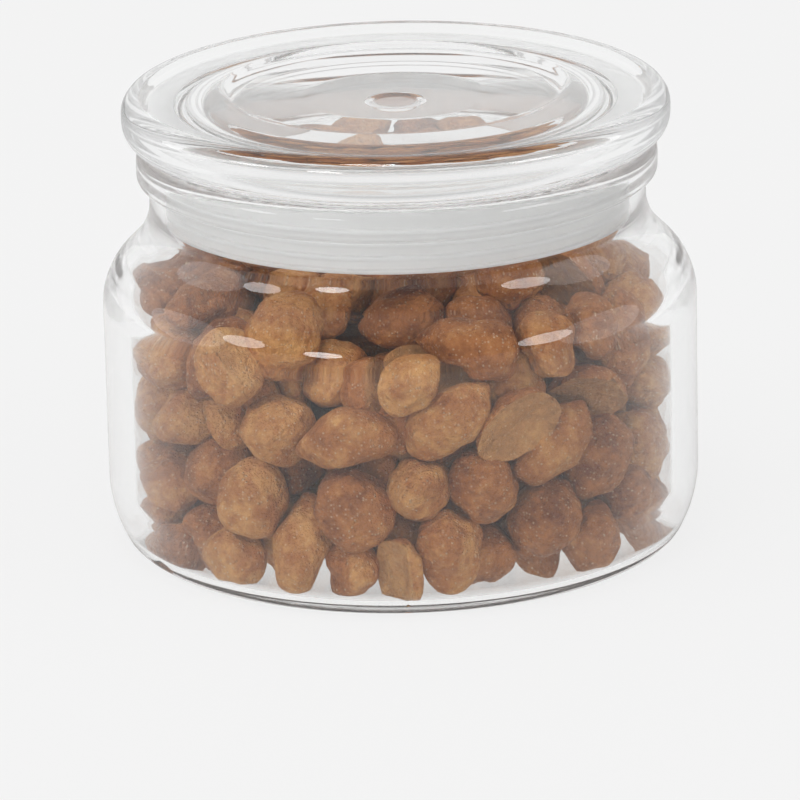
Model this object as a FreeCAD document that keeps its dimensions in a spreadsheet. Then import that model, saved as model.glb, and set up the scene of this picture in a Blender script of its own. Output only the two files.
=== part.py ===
import FreeCAD, Part
import math
import os

import Sketcher

# A squat glass jar of honey roasted peanuts, shut with a pressed glass lid and its plastic seal.
# Millimetres, +Z up. The origin is the middle of the flat on which the jar stands.

SIZES = [
    ("BodyDiameter", 94.0, "jar, outside of the straight body"),
    ("BodyWall", 4.2, "jar, glass of the body"),
    ("ShoulderHeight", 42.8, "jar, where the body meets the shoulder"),
    ("ShoulderRise", 7.9, "jar, from there up to the neck"),
    ("ShoulderWidth", 7.9, "jar, from the body's outside in to the neck's"),
    ("ShoulderRounding", 9.5, "jar, outer corner of body and shoulder"),
    ("InnerShoulderDrop", 0.6, "jar, how much lower that corner is inside"),
    ("InnerShoulderRounding", 6.0, "jar, the same corner inside"),
    ("BaseThickness", 2.4, "jar, height of the inside floor"),
    ("BaseRounding", 3.0, "jar, outer edge of the foot"),
    ("HeelInset", 3.0, "jar, from the body's outside in to the foot's"),
    ("HeelHeight", 6.5, "jar, where the slope up from the foot meets the body"),
    ("HeelRounding", 17.0, "jar, outer corner of heel and body"),
    ("InnerHeelInset", 1.6, "jar, from the body's inside in to the floor's edge"),
    ("InnerHeelHeight", 9.0, "jar, where the slope up from the floor meets the body"),
    ("InnerHeelRounding", 17.0, "jar, inner corner of heel and body"),
    ("FloorRounding", 4.0, "jar, inner corner of floor and heel"),
    ("BearingWidth", 11.0, "jar, ring that it stands on, before its edges are rounded"),
    ("PushUpDepth", 0.6, "jar, hollow under the base"),
    ("PushUpSlope", 4.0, "jar, width of the slope round that hollow"),
    ("PushUpRounding", 2.0, "jar, both edges of that slope"),
    ("NeckWall", 2.5, "jar, glass of the neck"),
    ("NeckLength", 8.0, "jar, from the shoulder up to the bead"),
    ("NeckRounding", 9.8, "jar, outer corner of shoulder and neck"),
    ("InnerNeckDrop", 2.3, "jar, how much lower that corner is inside"),
    ("InnerNeckRounding", 8.0, "jar, the same corner inside"),
    ("LipReach", 1.9, "jar, how far the bead stands out from the neck"),
    ("LipThickness", 5.0, "jar, height of the bead"),
    ("LipRounding", 1.85, "jar, outer edges of the bead"),
    ("MouthRounding", 0.8, "jar, inner edge of the mouth"),
    ("SealClearance", 0.1, "between the seal's fins and the neck"),
    ("SealFlange", 0.7, "seal, flange on which the lid rests"),
    ("SealFlangeInset", 2.2, "seal, from the bead's outside in to the flange's edge"),
    ("SealDepth", 11.8, "seal, how far it reaches below the lid's rim"),
    ("SealWall", 1.0, "seal, sleeve round the lid's ridge"),
    ("SealSkirtWall", 2.0, "seal, skirt below that ridge"),
    ("FinReach", 0.9, "seal, from the sleeve out to the tip of a fin"),
    ("FinThickness", 0.8, "seal, height of a fin"),
    ("FinPitch", 2.2, "seal, from fin to fin"),
    ("FinCount", 5, "seal, number of fins"),
    ("LidOverhang", 2.1, "lid, how far the rim stands out past the bead"),
    ("LidThickness", 8.0, "lid, height of the rim"),
    ("LidUpperRounding", 2.95, "lid, upper edge of the rim"),
    ("LidLowerRounding", 4.1, "lid, lower edge of the rim"),
    ("PlateThickness", 4.9, "lid, glass from its top face to the hollow under it"),
    ("RecessInset", 16.1, "lid, from its outside in to the edge of the dished recess"),
    ("RecessDepth", 1.5, "lid, depth of the recess in its middle"),
    ("RecessSlope", 2.0, "lid, width of the steep slope at the recess's edge"),
    ("RecessEdgeRounding", 1.5, "lid, upper edge of that slope"),
    ("RecessFootRounding", 4.0, "lid, foot of that slope"),
    ("DishWidth", 11.0, "lid, width of the gentle slope inside the steep one"),
    ("DishRise", 0.7, "lid, height of the gentle slope"),
    ("MarkDiameter", 7.4, "lid, round boss in the middle of the underside"),
    ("MarkDepth", 1.2, "lid, height of that boss"),
    ("RidgeDepth", 4.0, "lid, how far the ridge that holds the seal reaches below the rim"),
    ("RidgeWall", 1.6, "lid, glass of the ridge"),
    ("RidgeRounding", 0.6, "lid, both edges of the ridge's end"),
    ("HollowRounding", 5.0, "lid, corner inside the ridge"),
    ("HeapClearance", 0.4, "between the heap's highest points and the glass"),
    ("HeapDrop", 1.6, "peanuts, from the seal's end down to the heap at the neck"),
    ("HeapCrown", 0.4, "peanuts, how much higher the middle of the heap stands"),
    ("HeapRounding", 3.0, "peanuts, upper edge of the heap"),
    ("NutLength", 14.0, "peanuts, pitch of the kernels along their length"),
    ("NutWidth", 10.5, "peanuts, pitch of the kernels across"),
    ("NutRelief", 4.2, "peanuts, depth of the gaps between kernels"),
]

# Radii and heights that several outlines share, as expressions over the sheet.
BODY_R = "Sizes.BodyDiameter / 2"
BODY_INNER_R = BODY_R + " - Sizes.BodyWall"
BASE_R = BODY_R + " - Sizes.HeelInset"
BEARING_R = BASE_R + " - Sizes.BearingWidth"
PUSH_UP_R = BEARING_R + " - Sizes.PushUpSlope"
FLOOR_R = BODY_INNER_R + " - Sizes.InnerHeelInset"
NECK_R = BODY_R + " - Sizes.ShoulderWidth"
NECK_INNER_R = NECK_R + " - Sizes.NeckWall"
LIP_R = NECK_R + " + Sizes.LipReach"
NECK_Z = "Sizes.ShoulderHeight + Sizes.ShoulderRise"
LIP_Z = NECK_Z + " + Sizes.NeckLength"
MOUTH_Z = LIP_Z + " + Sizes.LipThickness"
INNER_SHOULDER_Z = "Sizes.ShoulderHeight - Sizes.InnerShoulderDrop"
INNER_NECK_Z = NECK_Z + " - Sizes.InnerNeckDrop"

FIN_R = NECK_INNER_R + " - Sizes.SealClearance"
SLEEVE_R = FIN_R + " - Sizes.FinReach"
RIDGE_R = SLEEVE_R + " - Sizes.SealWall"
RIDGE_INNER_R = RIDGE_R + " - Sizes.RidgeWall"
SKIRT_R = SLEEVE_R + " - Sizes.SealSkirtWall"
FIN_ROOT_R = SLEEVE_R + " - Sizes.SealWall / 2"
FLANGE_R = LIP_R + " - Sizes.SealFlangeInset"
RIM_Z = MOUTH_Z + " + Sizes.SealFlange"
RIDGE_Z = RIM_Z + " - Sizes.RidgeDepth"
SEAL_Z = RIM_Z + " - Sizes.SealDepth"
FIN_Z = SEAL_Z + " + Sizes.FinThickness"

LID_R = LIP_R + " + Sizes.LidOverhang"
LID_Z = RIM_Z + " + Sizes.LidThickness"
RECESS_R = LID_R + " - Sizes.RecessInset"
RECESS_FOOT_R = RECESS_R + " - Sizes.RecessSlope"
RECESS_Z = LID_Z + " - Sizes.RecessDepth"
RECESS_FOOT_Z = RECESS_Z + " + Sizes.DishRise"
DISH_R = RECESS_FOOT_R + " - Sizes.DishWidth"
HOLLOW_Z = LID_Z + " - Sizes.PlateThickness"
MARK_R = "Sizes.MarkDiameter / 2"
MARK_Z = HOLLOW_Z + " - Sizes.MarkDepth"

HEAP_SIDE_R = BODY_INNER_R + " - Sizes.HeapClearance"
HEAP_FLOOR_R = FLOOR_R + " - Sizes.HeapClearance"
HEAP_NECK_R = NECK_INNER_R + " - Sizes.HeapClearance"
HEAP_SHOULDER_Z = INNER_SHOULDER_Z + " - Sizes.HeapClearance"
HEAP_COLLAR_Z = INNER_NECK_Z + " - Sizes.HeapClearance"
HEAP_RIM_Z = SEAL_Z + " - Sizes.HeapDrop"
HEAP_TOP_Z = HEAP_RIM_Z + " + Sizes.HeapCrown"


def make_sheet(doc):
    """Puts every driving size in the sheet, under its alias."""
    sheet = doc.addObject("Spreadsheet::Sheet", "Sizes")
    for row, (alias, value, note) in enumerate(SIZES, start=1):
        sheet.set(f"A{row}", alias)
        sheet.set(f"B{row}", str(value))
        sheet.setAlias(f"B{row}", alias)
        sheet.set(f"C{row}", note)
    doc.recompute()
    return sheet


def new_body(doc, label):
    body = doc.addObject("PartDesign::Body", label.capitalize() + "Body")
    body.Label = label
    return body


def hold_point(sketch, kind, line, expression, value):
    """Ties one coordinate of a line's first point to an expression, or to the axis if it is 0."""
    if expression == "0":
        axis = {"DistanceX": -2, "DistanceY": -1}[kind]
        sketch.addConstraint(Sketcher.Constraint("PointOnObject", line, 1, axis))
    else:
        index = sketch.addConstraint(Sketcher.Constraint(kind, -1, 1, line, 1, value))
        sketch.setExpression(f"Constraints[{index}]", expression)


def turn_outline(doc, body, name, outline):
    """Adds a full turn of a closed outline, whose corners are (radius, height) expressions."""
    sketch = body.newObject("Sketcher::SketchObject", name + "Outline")
    plane = next(face for face in body.Origin.OriginFeatures if face.Role == "XZ_Plane")
    sketch.AttachmentSupport = (plane, "")
    sketch.MapMode = "FlatFace"
    corners = [
        FreeCAD.Vector(sketch.evalExpression(radius), sketch.evalExpression(height), 0)
        for radius, height in outline
    ]
    count = len(corners)
    for index, corner in enumerate(corners):
        sketch.addGeometry(Part.LineSegment(corner, corners[(index + 1) % count]), False)
    for index, (radius, height) in enumerate(outline):
        following = (index + 1) % count
        sketch.addConstraint(Sketcher.Constraint("Coincident", index, 2, following, 1))
        hold_point(sketch, "DistanceX", index, radius, corners[index].x)
        hold_point(sketch, "DistanceY", index, height, corners[index].y)
    turn = body.newObject("PartDesign::Revolution", name)
    turn.Profile = sketch
    turn.ReferenceAxis = (sketch, ["V_Axis"])
    turn.Angle = 360.0
    doc.recompute()
    return turn


def round_corners(doc, body, name, size, corners):
    """Rounds the circular edges that run through the given (radius, height) corners."""
    base = body.Tip
    wanted = [(body.evalExpression(radius), body.evalExpression(z)) for radius, z in corners]
    edges = []
    for index, edge in enumerate(base.Shape.Edges, start=1):
        if not isinstance(edge.Curve, Part.Circle):
            continue
        radius = edge.Curve.Radius
        height = edge.Curve.Center.z
        if any(abs(radius - r) < 1e-4 and abs(height - z) < 1e-4 for r, z in wanted):
            edges.append(f"Edge{index}")
    if len(edges) != len(corners):
        raise RuntimeError(f"{name}: {len(edges)} edges found for {len(corners)} corners")
    fillet = body.newObject("PartDesign::Fillet", name)
    fillet.Base = (base, edges)
    fillet.setExpression("Radius", "Sizes." + size)
    doc.recompute()
    return fillet


def make_jar(doc):
    """The jar: thick body and base with a push-up, sloping shoulder, neck and beaded mouth."""
    body = new_body(doc, "jar")
    turn_outline(doc, body, "JarWall", [
        ("0", "Sizes.PushUpDepth"),
        (PUSH_UP_R, "Sizes.PushUpDepth"),
        (BEARING_R, "0"),
        (BASE_R, "0"),
        (BODY_R, "Sizes.HeelHeight"),
        (BODY_R, "Sizes.ShoulderHeight"),
        (NECK_R, NECK_Z),
        (NECK_R, LIP_Z),
        (LIP_R, LIP_Z),
        (LIP_R, MOUTH_Z),
        (NECK_INNER_R, MOUTH_Z),
        (NECK_INNER_R, INNER_NECK_Z),
        (BODY_INNER_R, INNER_SHOULDER_Z),
        (BODY_INNER_R, "Sizes.InnerHeelHeight"),
        (FLOOR_R, "Sizes.BaseThickness"),
        ("0", "Sizes.BaseThickness"),
    ])
    for name, size, corners in (
        ("PushUpRound", "PushUpRounding", [(PUSH_UP_R, "Sizes.PushUpDepth"), (BEARING_R, "0")]),
        ("BaseRound", "BaseRounding", [(BASE_R, "0")]),
        ("HeelRound", "HeelRounding", [(BODY_R, "Sizes.HeelHeight")]),
        ("ShoulderRound", "ShoulderRounding", [(BODY_R, "Sizes.ShoulderHeight")]),
        ("NeckRound", "NeckRounding", [(NECK_R, NECK_Z)]),
        ("LipRound", "LipRounding", [(LIP_R, LIP_Z), (LIP_R, MOUTH_Z)]),
        ("MouthRound", "MouthRounding", [(NECK_INNER_R, MOUTH_Z)]),
        ("InnerNeckRound", "InnerNeckRounding", [(NECK_INNER_R, INNER_NECK_Z)]),
        ("InnerShoulderRound", "InnerShoulderRounding", [(BODY_INNER_R, INNER_SHOULDER_Z)]),
        ("InnerHeelRound", "InnerHeelRounding", [(BODY_INNER_R, "Sizes.InnerHeelHeight")]),
        ("FloorRound", "FloorRounding", [(FLOOR_R, "Sizes.BaseThickness")]),
    ):
        round_corners(doc, body, name, size, corners)
    return body


def make_lid(doc):
    """The lid: a thick disc, dished on top and hollow below, with a ridge that holds the seal."""
    body = new_body(doc, "lid")
    turn_outline(doc, body, "LidGlass", [
        ("0", RECESS_Z),
        ("0", MARK_Z),
        (MARK_R, MARK_Z),
        (MARK_R, HOLLOW_Z),
        (RIDGE_INNER_R, HOLLOW_Z),
        (RIDGE_INNER_R, RIDGE_Z),
        (RIDGE_R, RIDGE_Z),
        (RIDGE_R, RIM_Z),
        (LID_R, RIM_Z),
        (LID_R, LID_Z),
        (RECESS_R, LID_Z),
        (RECESS_FOOT_R, RECESS_FOOT_Z),
        (DISH_R, RECESS_Z),
    ])
    for name, size, corners in (
        ("HollowRound", "HollowRounding", [(RIDGE_INNER_R, HOLLOW_Z)]),
        ("RidgeRound", "RidgeRounding", [(RIDGE_INNER_R, RIDGE_Z), (RIDGE_R, RIDGE_Z)]),
        ("RimLowerRound", "LidLowerRounding", [(LID_R, RIM_Z)]),
        ("RimUpperRound", "LidUpperRounding", [(LID_R, LID_Z)]),
        ("RecessEdgeRound", "RecessEdgeRounding", [(RECESS_R, LID_Z)]),
        ("RecessFootRound", "RecessFootRounding", [(RECESS_FOOT_R, RECESS_FOOT_Z)]),
    ):
        round_corners(doc, body, name, size, corners)
    return body


def make_seal(doc):
    """The seal: a flange under the lid's rim, a sleeve round its ridge and a finned skirt."""
    body = new_body(doc, "seal")
    turn_outline(doc, body, "SealSleeve", [
        (SKIRT_R, SEAL_Z),
        (SLEEVE_R, SEAL_Z),
        (SLEEVE_R, MOUTH_Z),
        (FLANGE_R, MOUTH_Z),
        (FLANGE_R, RIM_Z),
        (RIDGE_R, RIM_Z),
        (RIDGE_R, RIDGE_Z),
        (SKIRT_R, RIDGE_Z),
    ])
    fin = turn_outline(doc, body, "SealFin", [
        (FIN_ROOT_R, SEAL_Z),
        (FIN_R, SEAL_Z),
        (FIN_R, FIN_Z),
        (FIN_ROOT_R, FIN_Z),
    ])
    fins = body.newObject("PartDesign::LinearPattern", "SealFins")
    fins.Originals = [fin]
    fins.Direction = (fin.Profile[0], ["V_Axis"])
    fins.setExpression("Length", "(Sizes.FinCount - 1) * Sizes.FinPitch")
    fins.setExpression("Occurrences", "Sizes.FinCount")
    body.Tip = fins
    doc.recompute()
    return body


# The heap's facets: how many run round it, and the longest step along its half section.
HEAP_FACETS_ROUND = 88
HEAP_STEP = 2.8


def rounded_path(corners):
    """A wire through (radius, height, rounding) corners, each rounded by a tangent arc."""
    edges = []
    start = FreeCAD.Vector(corners[0][0], 0, corners[0][1])
    for index in range(1, len(corners) - 1):
        before, corner, after = (
            FreeCAD.Vector(radius, 0, height)
            for radius, height, rounding in corners[index - 1:index + 2]
        )
        back = (before - corner).normalize()
        onward = (after - corner).normalize()
        half_angle = back.getAngle(onward) / 2
        room = 0.45 * min((before - corner).Length, (after - corner).Length)
        reach = min(corners[index][2] / math.tan(half_angle), room)
        rounding = reach * math.tan(half_angle)
        inward = (back + onward).normalize()
        middle = corner + inward * (rounding / math.sin(half_angle) - rounding)
        arc_start = corner + back * reach
        arc_end = corner + onward * reach
        edges.append(Part.LineSegment(start, arc_start).toShape())
        edges.append(Part.Arc(arc_start, middle, arc_end).toShape())
        start = arc_end
    end = FreeCAD.Vector(corners[-1][0], 0, corners[-1][1])
    edges.append(Part.LineSegment(start, end).toShape())
    return Part.Wire(edges)


def kernel_height(along, angle, radius, length, width):
    """How high the nearest kernel stands, from 0 in a gap to 1 on its back."""
    row_pitch = width * math.cos(math.pi / 6)
    height = 0.0
    nearest_row = round(along / row_pitch)
    for row in (nearest_row - 1, nearest_row, nearest_row + 1):
        count = max(1, round(2 * math.pi * radius / length))
        turn = angle / (2 * math.pi) * count - 0.5 * (row % 2) - 0.31 * math.sin(2.3 * row)
        kernel = round(turn)
        shift = 0.16 * math.sin(5.1 * kernel + 1.7 * row)
        across = along / row_pitch - row - shift
        beside = turn - kernel
        squared = (2 * beside) ** 2 + (2 * across * row_pitch / width) ** 2
        height = max(height, math.sqrt(max(0.0, 1 - squared)))
    return height


def make_heap(doc, sheet):
    """The heap of kernels up to its uneven outline: it fills the jar to just under the seal."""
    size = sheet.evalExpression
    rim_z = size(HEAP_RIM_Z)
    side = rounded_path([
        (size(HEAP_FLOOR_R) - sheet.FloorRounding, sheet.BaseThickness, 0),
        (size(HEAP_FLOOR_R), sheet.BaseThickness, sheet.FloorRounding),
        (size(HEAP_SIDE_R), sheet.InnerHeelHeight, sheet.InnerHeelRounding),
        (size(HEAP_SIDE_R), size(HEAP_SHOULDER_Z), sheet.InnerShoulderRounding),
        (size(HEAP_NECK_R), size(HEAP_COLLAR_Z), sheet.InnerNeckRounding),
        (size(HEAP_NECK_R), rim_z, sheet.HeapRounding),
        (0, size(HEAP_TOP_Z), 0),
    ])
    steps = math.ceil(side.Length / HEAP_STEP)
    path = side.discretize(Number=steps + 1)
    points = [FreeCAD.Vector(0, 0, sheet.BaseThickness)]
    for index, place in enumerate(path[:-1]):
        before = path[max(index - 1, 0)]
        heading = (path[index + 1] - before).normalize()
        inward = FreeCAD.Vector(-heading.z, 0, heading.x)
        along = index * side.Length / steps
        for step in range(HEAP_FACETS_ROUND):
            angle = 2 * math.pi * step / HEAP_FACETS_ROUND
            gap = 1 - kernel_height(along, angle, place.x, sheet.NutLength, sheet.NutWidth)
            depth = sheet.NutRelief * gap if index else 0
            spot = place + inward * depth
            spot.z = max(spot.z, sheet.BaseThickness)
            points.append(
                FreeCAD.Vector(spot.x * math.cos(angle), spot.x * math.sin(angle), spot.z)
            )
    points.append(FreeCAD.Vector(0, 0, size(HEAP_TOP_Z)))
    triangles = []
    last = len(points) - 1
    for step in range(HEAP_FACETS_ROUND):
        beside = (step + 1) % HEAP_FACETS_ROUND
        triangles.append((0, 1 + beside, 1 + step))
        for ring in range(steps - 1):
            low = 1 + ring * HEAP_FACETS_ROUND
            high = low + HEAP_FACETS_ROUND
            triangles.append((low + step, low + beside, high + beside))
            triangles.append((low + step, high + beside, high + step))
        top = last - HEAP_FACETS_ROUND
        triangles.append((top + step, top + beside, last))
    shell = Part.Shape()
    shell.makeShapeFromMesh((points, triangles), 0.001)
    solid = Part.Solid(shell.Shells[0])
    if solid.Volume < 0:
        solid.reverse()
    heap = doc.addObject("Part::Feature", "HeapSolid")
    heap.Label = "peanuts"
    heap.Shape = solid
    heap.Placement = FreeCAD.Placement()
    return heap


def check(doc, pieces):
    """Stops the build if any object failed or any piece isn't one valid solid."""
    doc.recompute()
    for item in doc.Objects:
        if "Invalid" in item.State or "Error" in item.State:
            raise RuntimeError(f"{item.Name} failed: {item.State}")
    for piece in pieces:
        shape = piece.Shape
        if shape.isNull() or not shape.isValid() or len(shape.Solids) != 1:
            raise RuntimeError(f"{piece.Label} isn't one valid solid")


def main():
    doc = FreeCAD.newDocument("PeanutJar")
    sheet = make_sheet(doc)
    pieces = [make_jar(doc), make_lid(doc), make_seal(doc), make_heap(doc, sheet)]
    check(doc, pieces)
    os.makedirs("parts", exist_ok=True)
    for piece in pieces:
        piece.Shape.exportStep(os.path.join("parts", piece.Label + ".step"))
        print(f"{piece.Label}: {piece.Shape.Volume / 1000:.1f} cm3, {len(piece.Shape.Faces)} faces")


main()
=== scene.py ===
"""Glass jar of honey roasted peanuts: glass, seal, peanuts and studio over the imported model."""

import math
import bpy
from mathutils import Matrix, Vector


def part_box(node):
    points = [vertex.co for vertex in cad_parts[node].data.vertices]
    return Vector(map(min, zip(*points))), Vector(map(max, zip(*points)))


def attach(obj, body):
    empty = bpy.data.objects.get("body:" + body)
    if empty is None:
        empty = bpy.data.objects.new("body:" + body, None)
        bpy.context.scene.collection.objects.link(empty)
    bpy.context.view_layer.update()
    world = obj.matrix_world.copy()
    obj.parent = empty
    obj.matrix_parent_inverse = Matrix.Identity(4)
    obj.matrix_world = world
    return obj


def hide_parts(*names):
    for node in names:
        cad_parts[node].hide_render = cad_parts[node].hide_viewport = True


bl_info = {
    "name": "Honey Roasted Peanut Jar",
    "version": (1, 0, 0),
    "blender": (4, 5, 0),
    "location": "View3D > Sidebar > Peanut Jar",
    "description": "Builds a glass jar with its lid, seal and peanuts, and the studio round it",
    "category": "Object",
}

import bmesh
import bpy
import numpy as np
from bpy.props import FloatProperty, FloatVectorProperty, IntProperty, PointerProperty
from mathutils import Matrix, Vector, noise

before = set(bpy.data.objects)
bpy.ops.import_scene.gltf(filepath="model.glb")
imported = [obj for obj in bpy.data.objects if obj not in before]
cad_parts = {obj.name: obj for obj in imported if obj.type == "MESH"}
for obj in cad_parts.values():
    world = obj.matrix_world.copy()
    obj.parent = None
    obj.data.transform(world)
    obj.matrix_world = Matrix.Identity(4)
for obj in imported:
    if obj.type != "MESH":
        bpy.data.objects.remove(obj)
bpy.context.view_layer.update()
MM = 0.001
JAR_BOX, LID_BOX, SEAL_BOX = (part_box(node) for node in ("jar", "lid", "seal"))
BODY_RADIUS = min(-JAR_BOX[0][0], -JAR_BOX[0][1], JAR_BOX[1][0], JAR_BOX[1][1])
LID_RADIUS = min(-LID_BOX[0][0], -LID_BOX[0][1], LID_BOX[1][0], LID_BOX[1][1])
FLANGE_RADIUS = min(-SEAL_BOX[0][0], -SEAL_BOX[0][1], SEAL_BOX[1][0], SEAL_BOX[1][1])
WHOLE_TURN = 2.0 * math.pi
FULL_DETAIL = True


# ---------------------------------------------------------------- settings


class JarSizes(bpy.types.PropertyGroup):
    """Sizes of the blown glass jar."""

    body_radius: FloatProperty(
        name="Body radius", description="Outside radius of the body",
        default=BODY_RADIUS, unit="LENGTH",
    )
    wall: FloatProperty(
        name="Wall", description="Thickness of the body's wall",
        default=4.16 * MM, unit="LENGTH",
    )
    floor: FloatProperty(
        name="Floor", description="Height of the inside floor above the table",
        default=1.6 * MM, unit="LENGTH",
    )
    neck_radius: FloatProperty(
        name="Neck radius", description="Outside radius of the neck",
        default=39.1 * MM, unit="LENGTH",
    )
    mouth_radius: FloatProperty(
        name="Mouth radius", description="Inside radius of the neck",
        default=36.6 * MM, unit="LENGTH",
    )
    lip_radius: FloatProperty(
        name="Lip radius", description="Outside radius of the rolled lip",
        default=41.0 * MM, unit="LENGTH",
    )
    shoulder_height: FloatProperty(
        name="Shoulder height", description="Height at which the wall turns in to the shoulder",
        default=42.8 * MM, unit="LENGTH",
    )
    neck_height: FloatProperty(
        name="Neck height", description="Height at which the shoulder turns up to the neck",
        default=50.7 * MM, unit="LENGTH",
    )
    lip_height: FloatProperty(
        name="Lip height", description="Height of the underside of the lip",
        default=58.7 * MM, unit="LENGTH",
    )
    mouth_height: FloatProperty(
        name="Mouth height", description="Height of the top of the lip",
        default=JAR_BOX[1][2], unit="LENGTH",
    )


class LidSizes(bpy.types.PropertyGroup):
    """Sizes of the pressed glass lid."""

    radius: FloatProperty(
        name="Lid radius", description="Outside radius of the lid's rim",
        default=LID_RADIUS, unit="LENGTH",
    )
    top: FloatProperty(
        name="Top", description="Height of the rim's top above the table",
        default=LID_BOX[1][2], unit="LENGTH",
    )
    dish_radius: FloatProperty(
        name="Dish radius", description="Radius of the recess at the level of the top",
        default=27.0 * MM, unit="LENGTH",
    )
    dish: FloatProperty(
        name="Dish depth", description="Depth of the dished recess in the top",
        default=1.5 * MM, unit="LENGTH",
    )
    plate: FloatProperty(
        name="Plate", description="Thickness of the glass over the hollow",
        default=4.9 * MM, unit="LENGTH",
    )
    boss_radius: FloatProperty(
        name="Boss radius", description="Radius of the small boss under the middle",
        default=3.7 * MM, unit="LENGTH",
    )
    boss_depth: FloatProperty(
        name="Boss depth", description="How far the boss hangs below the plate",
        default=1.2 * MM, unit="LENGTH",
    )
    hollow_radius: FloatProperty(
        name="Hollow radius", description="Radius of the hollow inside the ridge",
        default=33.0 * MM, unit="LENGTH",
    )
    ridge_radius: FloatProperty(
        name="Ridge radius", description="Outside radius of the ridge that holds the seal",
        default=34.6 * MM, unit="LENGTH",
    )
    ridge_height: FloatProperty(
        name="Ridge height", description="Height of the ridge's foot above the table",
        default=60.4 * MM, unit="LENGTH",
    )
    seat_height: FloatProperty(
        name="Seat height", description="Height of the rim's underside, which rests on the seal",
        default=64.4 * MM, unit="LENGTH",
    )


class SealSizes(bpy.types.PropertyGroup):
    """Sizes of the ribbed plastic seal between lid and mouth."""

    foot_height: FloatProperty(
        name="Foot height", description="Height of the skirt's foot above the table",
        default=52.6 * MM, unit="LENGTH",
    )
    skirt_radius: FloatProperty(
        name="Skirt radius", description="Inside radius of the skirt below the lid's ridge",
        default=33.6 * MM, unit="LENGTH",
    )
    collar_radius: FloatProperty(
        name="Collar radius", description="Inside radius of the collar round the lid's ridge",
        default=34.65 * MM, unit="LENGTH",
    )
    flange: FloatProperty(
        name="Flange", description="Thickness of the flange on the mouth",
        default=0.64 * MM, unit="LENGTH",
    )
    sleeve_radius: FloatProperty(
        name="Sleeve radius", description="Outside radius of the sleeve between its ribs",
        default=35.6 * MM, unit="LENGTH",
    )
    rib_radius: FloatProperty(
        name="Rib radius", description="Outside radius of the ribs",
        default=36.45 * MM, unit="LENGTH",
    )
    rib_pitch: FloatProperty(
        name="Rib pitch", description="Height from one rib to the next",
        default=2.2 * MM, unit="LENGTH",
    )
    ribs: IntProperty(
        name="Ribs", description="Number of ribs round the sleeve", default=5, min=1,
    )


class PeanutSettings(bpy.types.PropertyGroup):
    """How the peanuts are made and poured."""

    seed: IntProperty(
        name="Seed", description="Start of the random shapes and places", default=7,
    )
    plump: IntProperty(
        name="Plump kernels", description="Number of plump whole kernels", default=108,
    )
    long: IntProperty(
        name="Long kernels", description="Number of long kernels with a beak", default=46,
    )
    small: IntProperty(
        name="Small kernels", description="Number of small whole kernels", default=46,
    )
    halves: IntProperty(
        name="Halves", description="Number of split kernels", default=26,
    )
    bits: IntProperty(
        name="Bits", description="Number of broken bits", default=18,
    )
    fill_height: FloatProperty(
        name="Fill height", description="Height to which the peanuts reach",
        default=52.4 * MM, unit="LENGTH",
    )


class FinishColours(bpy.types.PropertyGroup):
    """Colours of the peanuts and the seal."""

    crust_dark: FloatVectorProperty(
        name="Dark crust", description="Colour of the most roasted crust",
        subtype="COLOR", size=3, min=0.0, max=1.0, default=(0.215, 0.06, 0.014),
    )
    crust: FloatVectorProperty(
        name="Crust", description="Colour of most of the honey crust",
        subtype="COLOR", size=3, min=0.0, max=1.0, default=(0.45, 0.161, 0.039),
    )
    crust_pale: FloatVectorProperty(
        name="Pale crust", description="Colour of the thinly coated patches",
        subtype="COLOR", size=3, min=0.0, max=1.0, default=(0.68, 0.335, 0.108),
    )
    sugar: FloatVectorProperty(
        name="Sugar", description="Colour of the sugar crystals",
        subtype="COLOR", size=3, min=0.0, max=1.0, default=(0.86, 0.66, 0.45),
    )
    flesh: FloatVectorProperty(
        name="Split face", description="Colour of a split kernel's inside",
        subtype="COLOR", size=3, min=0.0, max=1.0, default=(0.66, 0.385, 0.155),
    )
    seal: FloatVectorProperty(
        name="Seal", description="Colour of the seal's cloudy plastic",
        subtype="COLOR", size=3, min=0.0, max=1.0, default=(0.98, 0.975, 0.965),
    )


class StudioSettings(bpy.types.PropertyGroup):
    """Camera and background."""

    distance: FloatProperty(
        name="Camera distance", description="From the jar's middle to the camera",
        default=1.0, unit="LENGTH",
    )
    elevation: FloatProperty(
        name="Elevation", description="Camera's height above the horizon as an angle",
        default=math.radians(17.18), unit="ROTATION",
    )
    lens: FloatProperty(
        name="Lens", description="Focal length in millimetres", default=283.95,
    )
    roll: FloatProperty(
        name="Roll", description="Turn of the camera about its line of sight",
        default=math.radians(1.3), unit="ROTATION",
    )
    dip: FloatProperty(
        name="Dip", description="Tilt of the camera below the jar's middle",
        default=math.radians(0.8907), unit="ROTATION",
    )
    background: FloatProperty(
        name="Background", description="Grey of the background and floor",
        default=0.896, min=0.0, max=1.0,
    )


# ---------------------------------------------------------------- shaping


def add_piece(name, bm, materials, slot, *nodes):
    """Makes a bmesh into a smooth piece that rides with the jar and stands for CAD nodes."""
    mesh = bpy.data.meshes.new(name)
    bm.to_mesh(mesh)
    bm.free()
    mesh.polygons.foreach_set("use_smooth", [True] * len(mesh.polygons))
    piece = bpy.data.objects.new(name, mesh)
    bpy.context.scene.collection.objects.link(piece)
    for material in materials:
        mesh.materials.append(material)
    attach(piece, "root")
    if nodes:
        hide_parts(*nodes)
    return piece


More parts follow.
